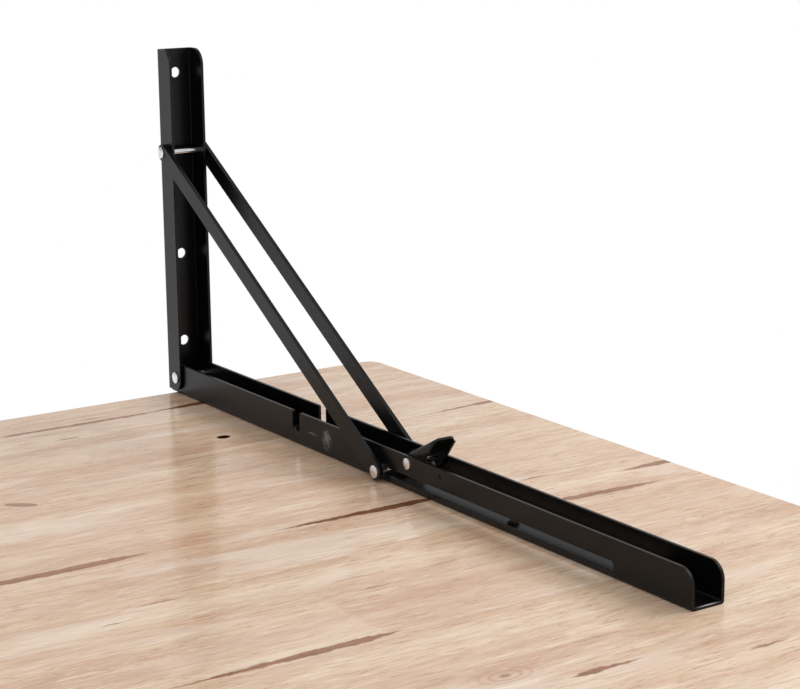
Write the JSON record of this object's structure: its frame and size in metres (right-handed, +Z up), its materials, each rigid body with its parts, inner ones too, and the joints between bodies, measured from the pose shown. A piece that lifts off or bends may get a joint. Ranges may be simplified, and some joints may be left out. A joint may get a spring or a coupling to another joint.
{
  "type": "wall-mounted folding workbench",
  "caption": "Wall-mounted folding workbench: glued-stave wooden top on folding steel brackets with hinged braces, sliding rods and sprung release levers.",
  "frame": {"origin": "on the wall plane, at the centre of the rectangle of the four outer wall screw holes, midway between the brackets", "axes": "+Z up, +Y into the wall, worktop reaches out along -Y, X along the wall"},
  "size_m": [1.22, 0.7678, 0.294],
  "materials": {
    "black_coat": "black powder coat, satin",
    "bright_steel": "zinc-plated, bright",
    "dark_steel": "blackened",
    "spring_steel": "drawn wire",
    "black_screw": "black phosphate",
    "worktop_wood": "satin lacquer, grain along X"
  },
  "bodies": {
    "wall_side": {"wall_channel_left": "black_coat", "hinge_pin_left": "bright_steel", "hinge_washers_left": "dark_steel", "brace_pivot_rod_left": "bright_steel", "brace_pivot_washers_left": "dark_steel", "wall_channel_right": "black_coat", "hinge_pin_right": "bright_steel", "hinge_washers_right": "dark_steel", "brace_pivot_rod_right": "bright_steel", "brace_pivot_washers_right": "dark_steel"},
    "worktop": {"arm_channel_left": "black_coat", "lever_pin_left": "bright_steel", "lever_spring_left": "spring_steel", "worktop_screws_left": "black_screw", "arm_channel_right": "black_coat", "lever_pin_right": "bright_steel", "lever_spring_right": "spring_steel", "worktop_screws_right": "black_screw", "worktop_stave_01": "worktop_wood", "worktop_stave_02": "worktop_wood", "worktop_stave_03": "worktop_wood", "worktop_stave_04": "worktop_wood", "worktop_stave_05": "worktop_wood", "worktop_stave_06": "worktop_wood", "worktop_stave_07": "worktop_wood", "worktop_stave_08": "worktop_wood", "worktop_stave_09": "worktop_wood", "worktop_stave_10": "worktop_wood", "worktop_stave_11": "worktop_wood", "worktop_stave_12": "worktop_wood", "worktop_stave_13": "worktop_wood"},
    "braces_left": {"brace_outer_left": "black_coat", "brace_inner_left": "black_coat", "brace_rivets_left": "bright_steel"},
    "slider_left": {"slider_rod_left": "bright_steel", "slider_bushings_left": "dark_steel"},
    "lever_left": {"release_lever_left": "black_coat"},
    "braces_right": {"brace_outer_right": "black_coat", "brace_inner_right": "black_coat", "brace_rivets_right": "bright_steel"},
    "slider_right": {"slider_rod_right": "bright_steel", "slider_bushings_right": "dark_steel"},
    "lever_right": {"release_lever_right": "black_coat"}
  },
  "joints": [
    {"name": "worktop_fold", "type": "hinge", "parent": "wall_side", "child": "worktop", "pos_m": [0, -0.013, 0.1295], "axis": [1, 0, 0], "range_deg": [0, 90]},
    {"name": "brace_pivot_left", "type": "hinge", "parent": "wall_side", "child": "braces_left", "pos_m": [-0.438, -0.0105, -0.045], "axis": [1, 0, 0], "range_deg": [-0.2, 120.66]},
    {"name": "slider_travel_left", "type": "slide", "parent": "worktop", "child": "slider_left", "axis": [0, -1, 0], "range_m": [-0.0002, 0.2287]},
    {"name": "release_lever_left", "type": "hinge", "parent": "worktop", "child": "lever_left", "pos_m": [-0.438, -0.3284, 0.1241], "axis": [-1, 0, 0], "range_deg": [-9, 26], "stiffness_Nm_per_rad": 0.12, "deforming": ["lever_spring_left"]},
    {"name": "brace_pivot_right", "type": "hinge", "parent": "wall_side", "child": "braces_right", "pos_m": [0.438, -0.0105, -0.045], "axis": [1, 0, 0], "range_deg": [-0.2, 120.66]},
    {"name": "slider_travel_right", "type": "slide", "parent": "worktop", "child": "slider_right", "axis": [0, -1, 0], "range_m": [-0.0002, 0.2287]},
    {"name": "release_lever_right", "type": "hinge", "parent": "worktop", "child": "lever_right", "pos_m": [0.438, -0.3284, 0.1241], "axis": [-1, 0, 0], "range_deg": [-9, 26], "stiffness_Nm_per_rad": 0.12, "deforming": ["lever_spring_right"]}
  ],
  "couplings": [
    {"joint": "brace_pivot_left", "follows": "worktop_fold", "ratio": 1.3396},
    {"joint": "slider_travel_left", "follows": "worktop_fold", "m_per_rad": 0.14545},
    {"joint": "brace_pivot_right", "follows": "worktop_fold", "ratio": 1.3396},
    {"joint": "slider_travel_right", "follows": "worktop_fold", "m_per_rad": 0.14545}
  ]
}
